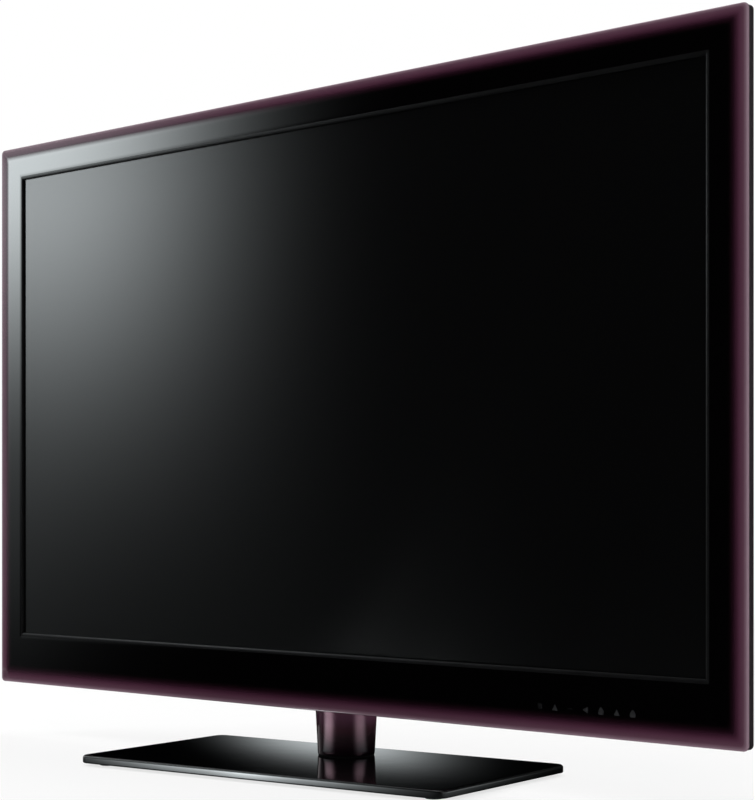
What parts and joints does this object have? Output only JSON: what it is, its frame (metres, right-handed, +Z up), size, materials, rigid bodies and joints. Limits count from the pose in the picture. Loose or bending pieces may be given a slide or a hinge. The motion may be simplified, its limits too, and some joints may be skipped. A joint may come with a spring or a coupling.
{
  "type": "flat screen television",
  "caption": "Slim flat screen television with a glossy black front edged in wine red, on a round swivel neck and a thin rectangular table base.",
  "frame": {"origin": "on the table under the feet, at the middle of the head's width and of the turned base's depth", "axes": "+X to the viewer's right along the screen, +Y away from the viewer through the back cover, +Z up; the screen faces -Y"},
  "size_m": [1.02, 0.2784, 0.6898],
  "materials": {
    "fascia_gloss": "clear moulding over black, wine red towards its rim",
    "frame_black": "fine moulded grain",
    "gasket_foam": "closed-cell foam",
    "screen_dark": "dark polished screen front",
    "film_white": "white diffusing film",
    "guide_clear": "polished clear acrylic",
    "lamp_aluminium": "strip board with white lamps",
    "pressed_steel": "zinc coated pressing",
    "circuit_board": "green board with black parts",
    "sink_aluminium": "extruded, plain",
    "pillar_brass": "turned",
    "flex_amber": "amber film",
    "ribbon_grey": "flat flexible cable",
    "wire_black": "insulated wire",
    "speaker_black": "moulded box, paper cones",
    "plated_steel": "nickel plated",
    "screw_black": "black zinc",
    "cover_black": "spark-eroded grain",
    "socket_black": "moulded black",
    "bracket_black": "black powder coat",
    "shroud_black": "gloss black moulding",
    "neck_wine": "clear wine-red moulding over a dark core",
    "bush_plastic": "natural acetal",
    "base_gloss": "polished black",
    "weight_grey": "painted steel plate",
    "foot_rubber": "moulded rubber"
  },
  "bodies": {
    "stand": {"swivel_bush": "bush_plastic", "swivel_washer": "bush_plastic", "swivel_stops": "plated_steel", "base_plate": "base_gloss", "base_weight": "weight_grey", "base_screws": "screw_black", "rubber_feet": "foot_rubber"},
    "head": {"front_fascia": "fascia_gloss", "front_frame": "frame_black", "screen_gasket": "gasket_foam", "screen_glass": "screen_dark", "optical_sheets": "film_white", "light_guide": "guide_clear", "reflector_sheet": "film_white", "middle_mould": "frame_black", "lamp_strip_top": "lamp_aluminium", "lamp_strip_bottom": "lamp_aluminium", "screen_chassis": "pressed_steel", "main_board": "circuit_board", "heat_sink": "sink_aluminium", "power_board": "circuit_board", "timing_board": "circuit_board", "board_standoffs": "pillar_brass", "source_boards": "circuit_board", "screen_flexes": "flex_amber", "display_ribbon": "ribbon_grey", "power_harness": "wire_black", "speaker_leads": "wire_black", "speaker_left": "speaker_black", "speaker_right": "speaker_black", "touch_board": "circuit_board", "remote_receiver": "circuit_board", "mount_rails": "pressed_steel", "wall_inserts": "plated_steel", "cover_posts": "pillar_brass", "cover_screws": "screw_black", "back_cover": "cover_black", "media_sockets": "plated_steel", "data_sockets": "plated_steel", "light_socket": "socket_black", "phono_sockets": "socket_black", "aerial_socket": "plated_steel", "socket_tray": "cover_black", "mains_inlet": "socket_black", "inlet_tray": "cover_black", "stand_anchor": "pressed_steel", "stand_bracket": "bracket_black", "bracket_screws": "screw_black", "neck_shroud": "shroud_black", "neck_sleeve": "neck_wine", "neck_post": "plated_steel", "swivel_screws": "plated_steel", "swivel_plate": "plated_steel"}
  },
  "joints": [
    {"name": "head_swivel", "type": "hinge", "parent": "stand", "child": "head", "pos_m": [0, 0.04765, 0.011], "axis": [0, 0, 1], "range_deg": [-13.1, 26.9]}
  ]
}
